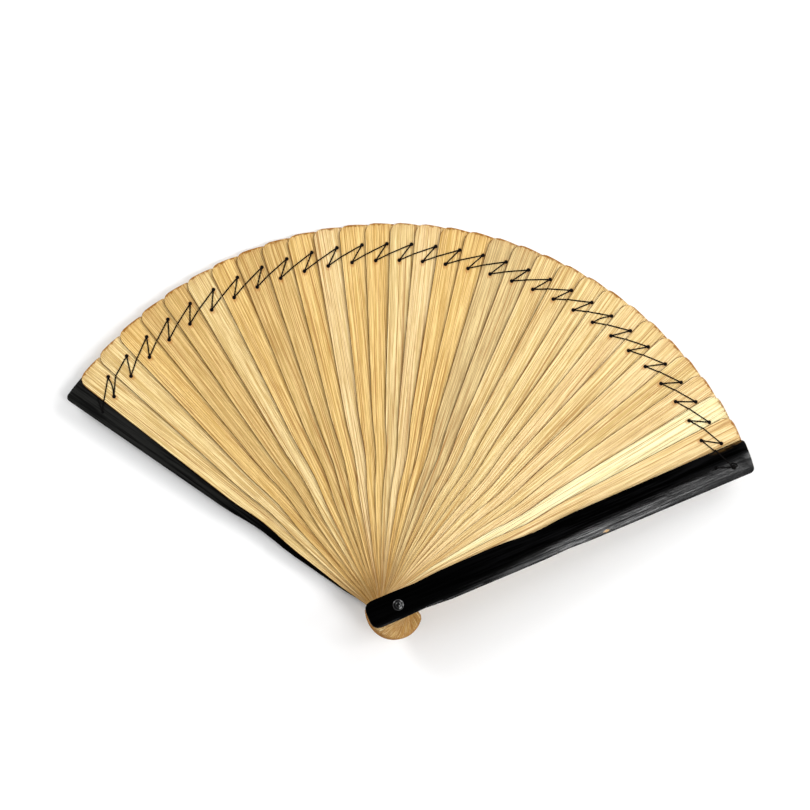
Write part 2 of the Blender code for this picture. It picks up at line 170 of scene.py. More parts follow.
# Knots, and the loose loop beside the front one
KNOT_POINTS = 50
KNOT_TURNS = 4.2
KNOT_WIDE = 1.10 * MM
KNOT_NARROW = 0.30 * MM
KNOT_FOOT = 0.15 * MM
KNOT_TOP = 0.95 * MM
KNOT_TUCK = (Vector((-0.5, -0.3, 0.7)) * MM, Vector((-0.8, -0.5, 0.1)) * MM)
LOOSE_POINTS = 25
LOOSE_REACH = 2.3 * MM
LOOSE_FROM = 84.0  # degrees
LOOSE_SWEEP = 130.0
LOOSE_FOOT = 0.3 * MM
LOOSE_ARCH = 0.35 * MM

# Rivet and washer, from the flat rear face of the rivet's head
SEAT_GAP = 0.25 * MM  # between a head or washer and what it bears on
SHANK_RADIUS = 1.0 * MM
HEAD_RADIUS = 3.2 * MM
HEAD_HEIGHT = 0.8 * MM
HEAD_ROUND = 0.25 * MM
WASHER_BORE = 1.3 * MM
WASHER_RADIUS = 3.1 * MM
WASHER_RIM = 0.35 * MM
WASHER_HEIGHT = 1.1 * MM
CLOSED_RADIUS = 1.7 * MM
CLOSED_HEIGHT = 0.6 * MM
ALL_THICKNESSES = 2 * GUARD_THICKNESS + BLADE_COUNT * BLADE_THICKNESS
STACK_TOP = HEAD_HEIGHT + SEAT_GAP + ALL_THICKNESSES + (BLADE_COUNT + 1) * STICK_GAP
WASHER_FOOT = STACK_TOP + SEAT_GAP
CLOSED_FOOT = WASHER_FOOT + WASHER_HEIGHT + SEAT_GAP
TURNED_SIDES = 48

# Floor and light
FLOOR_SIZE = 1.5
FLOOR_MIDDLE = (0.0, 0.1)
FLOOR_GAP = 0.1 * MM  # under the fan's lowest point
LIGHT_AIM = Vector((0.0, 0.11, 0.0))
LIT = 1.10  # light that falls on the fan, as a multiple of what shows white as white

# Noise in the materials
NOISE_SPAN = (0.34, 0.66)  # where a noise that is added to others starts and stops counting
SEED_SHIFTS = (17.3, 5.1, 3.7)  # of the noise's place, for each 1 of its seed


def bounded(value):
    """The value, kept from 0 to 1."""
    return min(max(value, 0.0), 1.0)


def between(first, last, share):
    """The value at a share of the way from first to last."""
    return first + share * (last - first)


def aim_camera():
    """The photograph's camera: almost overhead, turned a little about its own axis."""
    side = AZIMUTH - math.pi / 2
    back = Vector((math.cos(side) * math.cos(ELEVATION), math.sin(side) * math.cos(ELEVATION), 0))
    back.z = math.sin(ELEVATION)
    level = Vector((-math.sin(side), math.cos(side), 0.0))
    right = Matrix.Rotation(ROLL, 3, back) @ level
    up = back.cross(right)
    data = bpy.data.cameras.new("camera")
    data.sensor_width = 36.0
    data.lens = data.sensor_width * DISTANCE * PIXELS_PER_METRE / IMAGE_SIZE
    data.clip_start = 0.1
    data.clip_end = 20.0
    camera = bpy.data.objects.new("camera", data)
    turn = Matrix((right, up, back)).transposed().to_4x4()
    camera.matrix_world = Matrix.Translation(TARGET + DISTANCE * back) @ turn
    bpy.context.scene.collection.objects.link(camera)
    bpy.context.scene.camera = camera


class Nodes:
    """Short calls that build one material's node tree."""

    def __init__(self, name):
        self.material = bpy.data.materials.new(name)
        self.material.use_nodes = True
        self.tree = self.material.node_tree
        self.shader = self.tree.nodes["Principled BSDF"]

    def add(self, kind, **settings):
        """A node with its settings."""
        node = self.tree.nodes.new(kind)
        for name, value in settings.items():
            setattr(node, name, value)
        return node

    def put(self, socket, value):
        """A value, or another node's output, into an input."""
        if isinstance(value, bpy.types.NodeSocket):
            self.tree.links.new(value, socket)
        else:
            socket.default_value = value

    def maths(self, operation, first, second=0.0):
        """One sum."""
        node = self.add("ShaderNodeMath", operation=operation)
        self.put(node.inputs[0], first)
        self.put(node.inputs[1], second)
        return node.outputs[0]

    def product(self, *factors):
        """The factors, multiplied in their order."""
        result = factors[0]
        for factor in factors[1:]:
            result = self.maths("MULTIPLY", result, factor)
        return result

    def ramp(self, value, low, high, start=0.0, end=1.0):
        """The value carried smoothly from the range low to high into the range start to end."""
        node = self.add("ShaderNodeMapRange", interpolation_type="SMOOTHSTEP")
        for socket, number in zip(node.inputs, (value, low, high, start, end)):
            self.put(socket, number)
        return node.outputs["Result"]

    def mix(self, share, first, second):
        """Two colours mixed by a share of the second."""
        node = self.add("ShaderNodeMix", data_type="RGBA")
        self.put(node.inputs["Factor"], share)
        self.put(node.inputs["A"], first)
        self.put(node.inputs["B"], second)
        for output in node.outputs:
            if output.type == "RGBA":
                return output

    def place(self):
        """The point in the piece's own frame, in millimetres: its vector, x and y."""
        coords = self.add("ShaderNodeTexCoord").outputs["Object"]
        scaled = self.add("ShaderNodeVectorMath", operation="SCALE")
        self.put(scaled.inputs[0], coords)
        scaled.inputs["Scale"].default_value = 1 / MM
        parts = self.add("ShaderNodeSeparateXYZ")
        self.put(parts.inputs[0], scaled.outputs[0])
        return scaled.outputs[0], parts.outputs["X"], parts.outputs["Y"]

    def stretched(self, point, across, along, seed, detail=2.0, roughness=0.5):
        """Noise drawn out along the stick: across and along are its waves for each millimetre."""
        mapping = self.add("ShaderNodeMapping")
        self.put(mapping.inputs["Vector"], point)
        mapping.inputs["Scale"].default_value = (across, along, across)
        mapping.inputs["Location"].default_value = [shift * seed for shift in SEED_SHIFTS]
        texture = self.add("ShaderNodeTexNoise")
        self.put(texture.inputs["Vector"], mapping.outputs[0])
        texture.inputs["Scale"].default_value = 1.0
        texture.inputs["Detail"].default_value = detail
        texture.inputs["Roughness"].default_value = roughness
        return texture.outputs["Fac"]

    def total(self, *parts):
        """The sum of several parts, each a noise and its weight."""
        result = 0.0
        for value, weight in parts:
            result = self.maths("ADD", self.ramp(value, *NOISE_SPAN, 0.0, weight), result)
        return result

    def distance(self, x, y, middle, squeeze=1.0):
        """Distance in the stick's plane from a point, measured in millimetres."""
        across = self.maths("SUBTRACT", x, middle.x / MM)
        along = self.product(self.maths("SUBTRACT", y, middle.y / MM), squeeze)
        squares = [self.maths("POWER", side, 2.0) for side in (across, along)]
        return self.maths("SQRT", self.maths("ADD", *squares))

    def bump(self, height, strength, distance):
        """Relief on the shader's normal."""
        node = self.add("ShaderNodeBump")
        node.inputs["Strength"].default_value = strength
        node.inputs["Distance"].default_value = distance
        self.put(node.inputs["Height"], height)
        self.put(self.shader.inputs["Normal"], node.outputs[0])
        return node


def srgb(red, green, blue):
    """A colour given as screen values from 0 to 255, as the linear values that Blender uses."""
    values = [channel / 255 for channel in (red, green, blue)]
    linear = [v / 12.92 if v <= 0.04045 else ((v + 0.055) / 1.055) ** 2.4 for v in values]
    return (*linear, 1.0)


def shown(red, green, blue):
    """The colour that shows as these screen values under this scene's light."""
    return (*(channel / LIT for channel in srgb(red, green, blue)[:3]), 1.0)


# Bamboo tones: each is its light and its dark fibre
TONES = {
    "straw": (shown(250, 224, 164), shown(212, 179, 114)),
    "honey": (shown(248, 213, 142), shown(210, 170, 98)),
    "tan": (shown(236, 202, 136), shown(196, 160, 94)),
    "cream": (shown(252, 224, 168), shown(222, 190, 128)),
    # painted highlight: this pale tone stands for brighter light and sheen, not for paler bamboo
    "painted_highlight_pale": (shown(255, 248, 198), shown(244, 227, 168)),
    "ash": (shown(236, 210, 150), shown(192, 162, 110)),
}

# Blades of each tone; the others are straw. Blade 29's pale tone is a painted highlight: it stands
# for the brighter light and sheen at the fan's right end.
TONED_BLADES = {
    "honey": (3, 7, 10, 12, 13, 16, 17),
    "tan": (4, 5, 8, 9),
    "cream": (11, 15, 24, 26, 28, 30),
    "painted_highlight_pale": (29,),
    "ash": (18, 19),
}
TONE_OF = {number: tone for tone, numbers in TONED_BLADES.items() for number in numbers}

STRAND = shown(168, 116, 58)
SCORCH = shown(146, 92, 24)
GLOW = shown(176, 108, 44)  # scorch round a lacing hole
CHAR = shown(16, 10, 6)
# painted shadow as well as sawn wood: the dark line along each long edge stands for the shadow a
# blade casts on the one beneath
SAWN_AND_SHADOW_LINE = shown(88, 54, 18)  # long edges of the blades
SHADED = shown(184, 128, 54)  # towards the pivot, where the blades lie close
LACQUER = shown(1, 1, 1)
# lighter grey on the rear guard's lacquer towards its tip
REAR_TIP_GREY = shown(35, 35, 34)
RUBBED_THROUGH = shown(122, 90, 46)
BARE_WOOD = shown(206, 164, 104)
CHIP = Vector((7.6, 121.0)) * MM  # where the front guard's lacquer is chipped


def scorch_tip(made, colour, from_tip):
    """A thin scorched line along the tip, with a brown haze behind it."""
    colour = made.mix(made.ramp(from_tip, 0.2, 6.0, 0.24, 0.0), colour, STRAND)
    return made.mix(made.ramp(from_tip, 0.5, 1.5, 0.9, 0.0), colour, SCORCH)


def scorch_holes(made, colour, x, y):
    """A black rim round each lacing hole, and a brown glow that reaches further inwards."""
    for hole, glow in ((INNER_HOLE, 0.50), (OUTER_HOLE, 0.36)):
        below = Vector((hole.x, hole.y - 0.5 * MM))
        ring = made.distance(x, y, below, 0.75)
        colour = made.mix(made.ramp(ring, 0.9, 2.1, glow, 0.0), colour, GLOW)
        rim = made.distance(x, y, hole)
        colour = made.mix(made.ramp(rim, 0.95, 1.2, 1.0, 0.0), colour, CHAR)
    return colour


def scorch_tail(made, colour, x, y, number):
    """Brown rays across the tail and a scorched line at its end."""
    swept = made.add("ShaderNodeCombineXYZ")
    made.put(swept.inputs["X"], made.maths("ARCTAN2", x, y))
    rays = made.stretched(swept.outputs[0], 11.0, 1.0, number + 0.13, 2.0, 0.6)
    rays = made.product(made.ramp(rays, 0.44, 0.60), made.ramp(y, -4.0, -8.0, 0.0, 0.55))
    colour = made.mix(rays, colour, STRAND)
    return made.mix(made.ramp(y, -17.6, -15.5, 0.7, 0.0), colour, SCORCH)


def bamboo(number, edge=False):
    """Split bamboo: long fibres, darker strands, scorched ends and scorch round the lacing holes.

    edge gives the bamboo of a blade's long edges: darker as sawn wood, and darker still as painted
    shadow, the thin dark line where a blade lies over the one beneath.
    """
    light, dark = TONES[TONE_OF.get(number, "straw")]
    made = Nodes(f"bamboo_{number:02d}" + ("_edge" if edge else ""))
    point, x, y = made.place()
    fibres = made.stretched(point, 2.2, 0.022, number, 2.0, 0.6)
    fine = made.stretched(point, 3.0, 0.08, number + 0.31, 2.0, 0.6)
    medium = made.stretched(point, 0.38, 0.006, number + 0.57)
    broad = made.stretched(point, 0.13, 0.012, number + 0.71)
    strands = made.stretched(point, 2.3, 0.009, number + 0.37, 1.0)
    dashes = made.stretched(point, 1.5, 0.07, number + 0.83, 2.0)
    grain = made.total((fibres, 1.1), (fine, 0.6), (medium, 0.12), (broad, 0.10))
    colour = made.mix(made.ramp(grain, 0.56, 1.36), light, dark)
    colour = made.mix(made.ramp(strands, 0.57, 0.62, 0.0, 0.72), colour, STRAND)
    colour = made.mix(made.ramp(dashes, 0.58, 0.68, 0.0, 0.30), colour, STRAND)
    wander = made.stretched(point, 0.5, 0.5, number + 0.9, 2.0)
    from_tip = made.maths("SUBTRACT", TIP_RADIUS / MM, y)
    from_tip = made.maths("ADD", from_tip, made.ramp(wander, 0.3, 0.7, -0.6, 0.6))
    colour = scorch_tip(made, colour, from_tip)
    colour = scorch_holes(made, colour, x, y)
    if edge:
        # painted shadow line along the long edges, over their darker sawn wood
        sawn_and_shadow = made.product(made.ramp(y, 20.0, 100.0, 0.5, 0.95), made.ramp(from_tip, 0.8, 3.0))
        colour = made.mix(sawn_and_shadow, colour, SAWN_AND_SHADOW_LINE)
    colour = scorch_tail(made, colour, x, y, number)
    colour = made.mix(made.ramp(y, 10.0, 60.0, 0.28, 0.0), colour, SHADED)
    made.put(made.shader.inputs["Base Color"], colour)
    made.put(made.shader.inputs["Roughness"], made.ramp(fine, 0.3, 0.7, 0.5, 0.66))
    made.shader.inputs["Specular IOR Level"].default_value = 0.12
    relief = made.total((fibres, 1.0), (fine, 0.5), (strands, 0.4))
    made.bump(relief, 0.9, 0.13 * MM)
    return made.material


def greyer_rear_tip(made, colour, y, rubbed, worn):
    """The rear guard's lacquer made a lighter grey towards its tip."""
    greyer = made.product(made.ramp(y, 60.0, 180.0), made.ramp(rubbed, 0.3, 0.9, 0.3, 1.0))
    greyer = made.product(greyer, made.ramp(worn, 0.3, 0.7, 0.7, 1.0))
    return made.mix(greyer, colour, REAR_TIP_GREY)


def worn_front(made, colour, x, y, wear, fine):
    """The front guard's lacquer rubbed through at one corner, with a chip in its long side."""
    at_corner = made.product(made.ramp(y, 188.0, 206.0), made.ramp(x, -6.9, -8.2))
    flecks = made.product(made.ramp(wear, 0.52, 0.62, 0.0, 0.45), at_corner)
    colour = made.mix(flecks, colour, RUBBED_THROUGH)
    chip = made.distance(x, y, CHIP, 0.35)
    ragged = made.maths("ADD", chip, made.ramp(fine, 0.3, 0.7, -0.35, 0.35))
    return made.mix(made.ramp(ragged, 0.35, 0.75, 0.8, 0.0), colour, BARE_WOOD)


def front_slope(made, x, y):
    """1 on the front guard's sloping side and 0 on its flat side, less near the rivet."""
    over = made.maths("ADD", x, made.product(y, RIDGE_LEAN))
    past_ridge = made.ramp(over, RIDGE_AT_RIVET - 1.5, RIDGE_AT_RIVET + 2.5)
    return made.product(past_ridge, made.ramp(y, 25.0, 115.0, 0.15, 1.0))


def lacquer(node, seed, sheen):
    """Black lacquer over wood: grey streaks along its grain are painted sheen, faded towards the
    rivet as painted shade, and it is rubbed in places.
    """
    made = Nodes(f"lacquer_{node}")
    point, x, y = made.place()
    fine = made.stretched(point, 1.5, 0.06, seed, 3.0, 0.62)
    streaks = made.stretched(point, 0.9, 0.02, seed + 0.4, 3.0, 0.6)
    broad = made.stretched(point, 0.3, 0.008, seed + 0.6, 2.0)
    wear = made.stretched(point, 0.42, 0.06, seed + 0.8, 4.0, 0.68)
    rubbed = made.total((streaks, 0.5), (fine, 0.3), (broad, 0.4))
    # painted sheen: grey streaks along the grain, less towards the rivet as painted shade
    painted_sheen = made.product(made.ramp(rubbed, 0.4, 1.0), made.ramp(y, 20.0, 120.0, 0.15, 1.0))
    colour = made.mix(painted_sheen, LACQUER, sheen)
    relief = made.bump(made.total((fine, 0.6), (streaks, 1.0), (broad, 1.0)), 0.5, 0.07 * MM)
    if node == "front_guard":
        colour = worn_front(made, colour, x, y, wear, fine)
        slope = front_slope(made, x, y)
        strength = made.maths("ADD", made.product(slope, 0.65), 0.06)
        made.put(relief.inputs["Strength"], strength)
        shine = made.maths("ADD", made.product(slope, 1.35), 0.04)
    else:
        colour = greyer_rear_tip(made, colour, y, rubbed, made.total((fine, 0.5), (wear, 0.5)))
        shine = 0.30
    made.put(made.shader.inputs["Base Color"], colour)
    made.put(made.shader.inputs["Roughness"], made.ramp(rubbed, 0.2, 1.0, 0.15, 0.26))
    streaky = made.ramp(streaks, 0.38, 0.62, 0.50, 0.25)
    grainy = made.ramp(fine, 0.38, 0.62, 1.0, 0.45)
    dark_holes = [made.ramp(made.distance(x, y, hole), 0.85, 1.1) for hole in LACING_HOLES]
    gloss = made.product(streaky, grainy, shine, *dark_holes)
    made.put(made.shader.inputs["Specular IOR Level"], gloss)
    return made.material


def rivet_metal():
    """Black enamelled metal, glossy, with a few rubbed specks."""
    made = Nodes("rivet_black")
    point, _, _ = made.place()
    specks = made.stretched(point, 1.4, 1.4, 4.2, 4.0, 0.7)
    colour = made.mix(made.ramp(specks, 0.6, 0.75, 0.0, 0.5), shown(1, 1, 2), shown(34, 34, 34))
    made.put(made.shader.inputs["Base Color"], colour)
    made.put(made.shader.inputs["Roughness"], made.ramp(specks, 0.4, 0.7, 0.05, 0.16))
    made.shader.inputs["Specular IOR Level"].default_value = 0.6
    return made.material


def thread_cotton():
    """Black twisted thread."""
    made = Nodes("thread_black")
    point, _, _ = made.place()
    fuzz = made.stretched(point, 6.0, 6.0, 1.5, 3.0)
    deep = (0.0008, 0.0007, 0.0007, 1.0)
    fluffy = (0.004, 0.003, 0.003, 1.0)
    made.put(made.shader.inputs["Base Color"], made.mix(made.ramp(fuzz, 0.3, 0.7), deep, fluffy))
    made.shader.inputs["Roughness"].default_value = 0.8
    made.shader.inputs["Specular IOR Level"].default_value = 0.06
    made.bump(fuzz, 0.5, 0.05 * MM)
    return made.material


def stick_frame(node):
    """A stick's own frame at rest: from the pivot at its rear face, +Y to its tip, +Z its front.

    The direction comes from its outer lacing hole, whose middle is OUTER_HOLE. The hole's front
    and rear rims fall on the same spots, which count once.
    """
    points = [vertex.co - PIVOT for vertex in frame["nodes"][node].data.vertices]
    rear = min(point.dot(AXIS) for point in points)
    level = [point - point.dot(AXIS) * AXIS for point in points]
    far = OUTER_HOLE.length
    rims = [point for point in level if abs(point.length - far) < RIM_REACH]
    spots = {tuple(round(c, 5) for c in point) for point in rims}
    towards = sum((Vector(spot) for spot in spots), Vector()).normalized()
    off = math.atan2(OUTER_HOLE.x, OUTER_HOLE.y)
    outwards = Matrix.Rotation(off, 3, AXIS) @ towards
    turn = Matrix((outwards.cross(AXIS), outwards, AXIS)).transposed().to_4x4()
    return Matrix.Translation(PIVOT + rear * AXIS) @ turn


FRAMES = {stick: stick_frame(stick) for stick in STICKS}


def new_piece(name, bm, materials, matrix):
    """A mesh piece in the scene, smooth where its faces meet gently."""
    mesh = bpy.data.meshes.new(name)
    bm.to_mesh(mesh)
    bm.free()
    mesh.shade_smooth()
    mesh.set_sharp_from_angle(angle=SHARP_ANGLE)
    for material in materials:
        mesh.materials.append(material)
    piece = bpy.data.objects.new(name, mesh)
    piece.matrix_world = matrix
    bpy.context.scene.collection.objects.link(piece)
    return piece


def in_a_hole(point):
    """True on the edges of a lacing hole or of the rivet's bore."""
    middles = (*LACING_HOLES, Vector((0.0, 0.0)))
    return any((point.to_2d() - middle).length < HOLE_REACH for middle in middles)


def rim_edges(bm):
    """The edges where a stick's flat faces meet its outer wall, without those of its holes."""
    rim = []
    for edge in bm.edges:
        if len(edge.link_faces) == 2:
            flat = [abs(face.normal.z) > FLAT_BEFORE for face in edge.link_faces]
            middle = (edge.verts[0].co + edge.verts[1].co) / 2
            if flat[0] != flat[1] and not in_a_hole(middle):
                rim.append(edge)
    return rim


def cut_across(bm, place, normal):
    """An extra loop of edges where a plane meets the mesh."""
    parts = bm.verts[:] + bm.edges[:] + bm.faces[:]
    bmesh.ops.bisect_plane(bm, geom=parts, dist=SAME_PLACE, plane_co=place, plane_no=normal)


def dressed_stick(node, round_off, segments, ridge_cuts=()):
    """A stick's mesh in its own frame, with cross cuts, eased edges and a changed surface.

    Faces round the rim get the second material.
    """
    bm = bmesh.new()
    bm.from_mesh(frame["nodes"][node].data)
    bm.transform(FRAMES[node].inverted())
    bmesh.ops.remove_doubles(bm, verts=bm.verts, dist=MERGE)
    bmesh.ops.dissolve_limit(bm, angle_limit=FLAT_ANGLE, verts=bm.verts, edges=bm.edges)
    bmesh.ops.bevel(
        bm, geom=rim_edges(bm), offset=round_off, segments=segments, profile=0.5, affect="EDGES"
    )
    for face in bm.faces:
        face.material_index = 0 if abs(face.normal.z) > FLAT_AFTER else 1
    cut = FIRST_CUT
    while cut < LAST_CUT:
        cut_across(bm, (0.0, cut, 0.0), (0.0, 1.0, 0.0))
        cut += CUT_EVERY
    for step in ridge_cuts:
        cut_across(bm, (RIDGE_AT_TIP.x + step, RIDGE_AT_TIP.y, 0.0), (1.0, RIDGE_LEAN, 0.0))
    for vert in bm.verts:
        vert.co.z += LIFTS[node](vert.co)
    bmesh.ops.recalc_face_normals(bm, faces=bm.faces)
    return bm


def blade_lift(number):
    """How one blade bows and twists between the rivet and the lacing."""
    def lift(point):
        reach = point.y / BOWED_LENGTH
        if not 0 < reach < 1:
            return 0.0
        bow = noise.noise(Vector((point.y / BOW_WAVE, 3.1 * number, 0.0)))
        twist = noise.noise(Vector((point.y / TWIST_WAVE, 7.7 * number, 5.0)))
        across = point.x / HALF_WIDTH
        return math.sin(math.pi * reach) * (BOW * bow + TWIST * twist * across)
    return lift


def rear_guard_lift(point):
    """The rear guard's outer face is crowned a little."""
    share = max(1 - point.z / GUARD_THICKNESS, 0.0)
    return share * REAR_CROWN * (point.x / HALF_WIDTH) ** 2


def front_guard_lift(point):
    """The front guard's outer face is flat up to its ridge and then falls away in a curve."""
    beyond = point.x - RIDGE_AT_TIP.x + RIDGE_LEAN * (point.y - RIDGE_AT_TIP.y)
    share = bounded(point.z / GUARD_THICKNESS)
    full = bounded((point.y - SLOPE_START) / SLOPE_FADE)
    return -share * full * max(beyond, 0.0) ** 2 / (2 * SLOPE_RADIUS)


# Each stick's rise in Z at a point of its own frame
LIFTS = {blade: blade_lift(number) for number, blade in enumerate(BLADES, 1)}
LIFTS["rear_guard"] = rear_guard_lift
LIFTS["front_guard"] = front_guard_lift


def stand_in(piece, node, body=None):
    """The piece takes the place of a node, which it hides, and rides on its body.

    The body is named where it isn't the node's own.
    """
    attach(piece, body or node)
    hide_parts(node)


def make_blades():
    """The bamboo blades."""
    for number, node in enumerate(BLADES, 1):
        bm = dressed_stick(node, BLADE_ROUND, segments=2)
        skins = [bamboo(number), bamboo(number, edge=True)]
        stand_in(new_piece(f"bamboo_{node}", bm, skins, FRAMES[node]), node)


def make_guard(node, seed, sheen, ridge_cuts=()):
    """One lacquered guard."""
    bm = dressed_stick(node, GUARD_ROUND, segments=3, ridge_cuts=ridge_cuts)
    skin = lacquer(node, seed, sheen)
    piece = new_piece(f"lacquered_{node}", bm, [skin, skin], FRAMES[node])
    stand_in(piece, node)


def thickness(number):
    """A stick's thickness."""
    return GUARD_THICKNESS if number in (0, FRONT) else BLADE_THICKNESS


def inner_hole(number):
    """The middle of a stick's inner lacing hole."""
    return FRONT_INNER_HOLE if number == FRONT else INNER_HOLE


def edge_x(stick, along, side):
    """Where the stick's left (-1) or right (+1) edge lies at a distance out from the pivot."""
    inverse = FRAMES[stick].inverted()
    mesh = frame["nodes"][stick].data
    spots = [inverse @ vertex.co for vertex in mesh.vertices]
    found = []
    for edge in mesh.edges:
        first, second = (spots[index] for index in edge.vertices)
        if (first.y - along) * (second.y - along) < 0:
            share = (along - first.y) / (second.y - first.y)
            found.append(between(first.x, second.x, share))
    return max(found, key=lambda across: across * side)


def seen_from(stick, other, point):
    """A point in another stick's plane, in this stick's frame."""
    there = FRAMES[other] @ Vector((point.x, point.y, 0.0))
    return (FRAMES[stick].inverted() @ there).to_2d()


def crossing(stick, start, end, side):
    """Where a straight line in the stick's plane meets its left or right edge."""
    along = (start.y + end.y) / 2
    for _ in range(4):  # enough for it to settle
        across = edge_x(stick, along, side)
        along = start.y + (across - start.x) / (end.x - start.x) * (end.y - start.y)
    return Vector((across, along))


def bend_of(number):
    """How far the link that leaves this stick is pushed outwards at the edge it crosses."""
    change = BEND_CHANGE * noise.noise(Vector((2.7 * number, 0.4, 0.0)))
    return BENDS.get(number, USUAL_BEND + change)


def bow_of(number):
    """How far the front stitch on this stick bows sideways."""
    change = BOW_CHANGE * noise.noise(Vector((1.9 * number, 8.8, 0.0)))
    return BOWED_STITCHES.get(number, change)


def at_height(point, height):
    """A point of the stick's plane at a height."""
    return Vector((point.x, point.y, height))


def around(middle, reach, angle, height):
    """The point at a reach and an angle from a middle, at a height."""
    return at_height(middle + Vector((math.cos(angle), math.sin(angle))) * reach, height)


def face_run(start, end, height, after, before, bow=0.0):
    """Points on a face, from a little after the start to a little before the end.

    They are bowed sideways in the plane.
    """
    way = (end - start).normalized()
    first = start + way * after
    last = end - way * before
    side = Vector((-way.y, way.x))
    points = []
    for step in range(RUN_STEPS + 1):
        share = step / RUN_STEPS
        bowed = first.lerp(last, share) + side * bow * 4 * share * (1 - share)
        points.append(at_height(bowed, height))
    return points


def hole_loop(middle, coming_from, going_to, height, dip):
    """The thread's way through a hole: down on one side, round inside and up on the other.

    It goes round twice in a blade, and three times in a guard, which is thicker.
    """
    first = math.atan2(*(coming_from - middle).yx)
    last = math.atan2(*(going_to - middle).yx)
    turns = 3 if abs(dip) > BLADE_THICKNESS else 2
    sweep = (last - first) % (2 * math.pi) + 2 * math.pi * turns
    steps = LOOP_STEPS * turns
    points = [around(middle, LOOP_LEAD, first, height)]
    for step in range(steps + 1):
        share = step / steps
        narrowed = bounded((share - NARROWS_FROM) / NARROWS_OVER)
        reach = between(LOOP_WIDE, LOOP_NARROW, narrowed)
        depth = dip * between(END_DIP, 1.0, math.sin(math.pi * share))
        points.append(around(middle, reach, first + share * sweep, height + depth))
    points.append(around(middle, LOOP_LEAD, last, height))
    return points


def stitch(number, coming, going, height, dip, bow=0.0):
    """The thread on one face of a stick: its loops in both holes and the run between them."""
    inner = inner_hole(number)
    points = hole_loop(OUTER_HOLE, coming, inner, height, dip)
    points += face_run(OUTER_HOLE, inner, height, HOLE_CLEAR, HOLE_CLEAR, bow)
    last = hole_loop(inner, OUTER_HOLE, going, height, dip)
    return points + (last[:-LOOSE_END] if number == FRONT else last)


def front_path(number):
    """The front thread on one stick: over its left edge, through both holes, on to the next one."""
    stick = STICKS[number]
    thick = thickness(number)
    top = thick + REST
    inner = inner_hole(number)
    points = []
    coming = THREAD_START
    if number > 0:
        before = seen_from(stick, STICKS[number - 1], inner_hole(number - 1))
        coming = crossing(stick, before, OUTER_HOLE, -1)
        coming.y += bend_of(number - 1)
        outside = Vector((coming.x - REST, coming.y))
        heights = (-STICK_GAP + REST, thick / 2, thick - EDGE_DROP)
        points += [at_height(outside, height) for height in heights]
        points += face_run(coming, OUTER_HOLE, top, EDGE_CLEAR, HOLE_CLEAR)
    if number == FRONT:
        return points + stitch(number, coming, THREAD_END, top, -thick / 2, bow_of(number))
    ahead = STICKS[number + 1]
    meeting = crossing(ahead, seen_from(ahead, stick, inner), OUTER_HOLE, -1)
    meeting.y += bend_of(number)
    going = seen_from(stick, ahead, Vector((meeting.x - REST, meeting.y)))
    points += stitch(number, coming, going, top, -thick / 2, bow_of(number))
    return points + face_run(inner, going, top, HOLE_CLEAR, REST)


def rear_path(number):
    """The rear thread on one stick, which lies under it and goes on round its right edge."""
    stick = STICKS[number]
    thick = thickness(number)
    inner = inner_hole(number)
    points = []
    coming = THREAD_START
    if number > 0:
        behind = STICKS[number - 1]
        ahead = seen_from(behind, stick, OUTER_HOLE)
        left = crossing(behind, inner_hole(number - 1), ahead, 1)
        coming = seen_from(stick, behind, Vector((left.x + REST, left.y)))
        points += face_run(coming, OUTER_HOLE, -REST, REST, HOLE_CLEAR)
    if number == FRONT:
        return points + stitch(number, coming, THREAD_END, -REST, thick / 2)
    going = crossing(stick, inner, seen_from(stick, STICKS[number + 1], OUTER_HOLE), 1)
    points += stitch(number, coming, going, -REST, thick / 2)
    points += face_run(inner, going, -REST, HOLE_CLEAR, EDGE_CLEAR)
    outside = Vector((going.x + REST, going.y))
    heights = (EDGE_DROP, thick / 2, thick + STICK_GAP - REST)
    return points + [at_height(outside, height) for height in heights]


def knot_path(middle, height, up):
    """A knot: turns that climb out of the hole and a last tuck across the top."""
    points = []
    for step in range(KNOT_POINTS):
        share = step / (KNOT_POINTS - 1)
        reach = between(KNOT_WIDE, KNOT_NARROW, share)
        rise = between(KNOT_FOOT, KNOT_TOP, share)
        points.append(around(middle, reach, 2 * math.pi * KNOT_TURNS * share, height + up * rise))
    for tuck in KNOT_TUCK:
        points.append(at_height(middle + tuck.xy, height + up * tuck.z))
    return points


def loose_loop(middle, height):
    """The small loose loop that stands beside the front knot."""
    foot = at_height(middle, height + LOOSE_FOOT)
    points = [foot]
    for step in range(LOOSE_POINTS):
        share = step / (LOOSE_POINTS - 1)
        angle = math.radians(LOOSE_FROM + LOOSE_SWEEP * share)
        rise = LOOSE_ARCH * math.sin(math.pi * share)
        points.append(around(middle, LOOSE_REACH, angle, height + rise))
    return points + [foot]


def eased(corners):
    """The path in even small steps with its corners rounded."""
    points = [corners[0]]
    for corner in corners[1:]:
        start = points[-1]
        steps = round((corner - start).length / THREAD_STEP)
        for step in range(1, steps + 1):
            points.append(start.lerp(corner, step / steps))
    for _ in range(SMOOTHINGS):
        middle = [(a + 2 * b + c) / 4 for a, b, c in zip(points, points[1:], points[2:])]
        points = [points[0], *middle, points[-1]]
    return points


def bridge(bm, first, second):
    """Four-sided faces between two rings with the same number of vertices."""
    for corner in range(len(first)):
        after = (corner + 1) % len(first)
        bm.faces.new((first[corner], first[after], second[after], second[corner]))


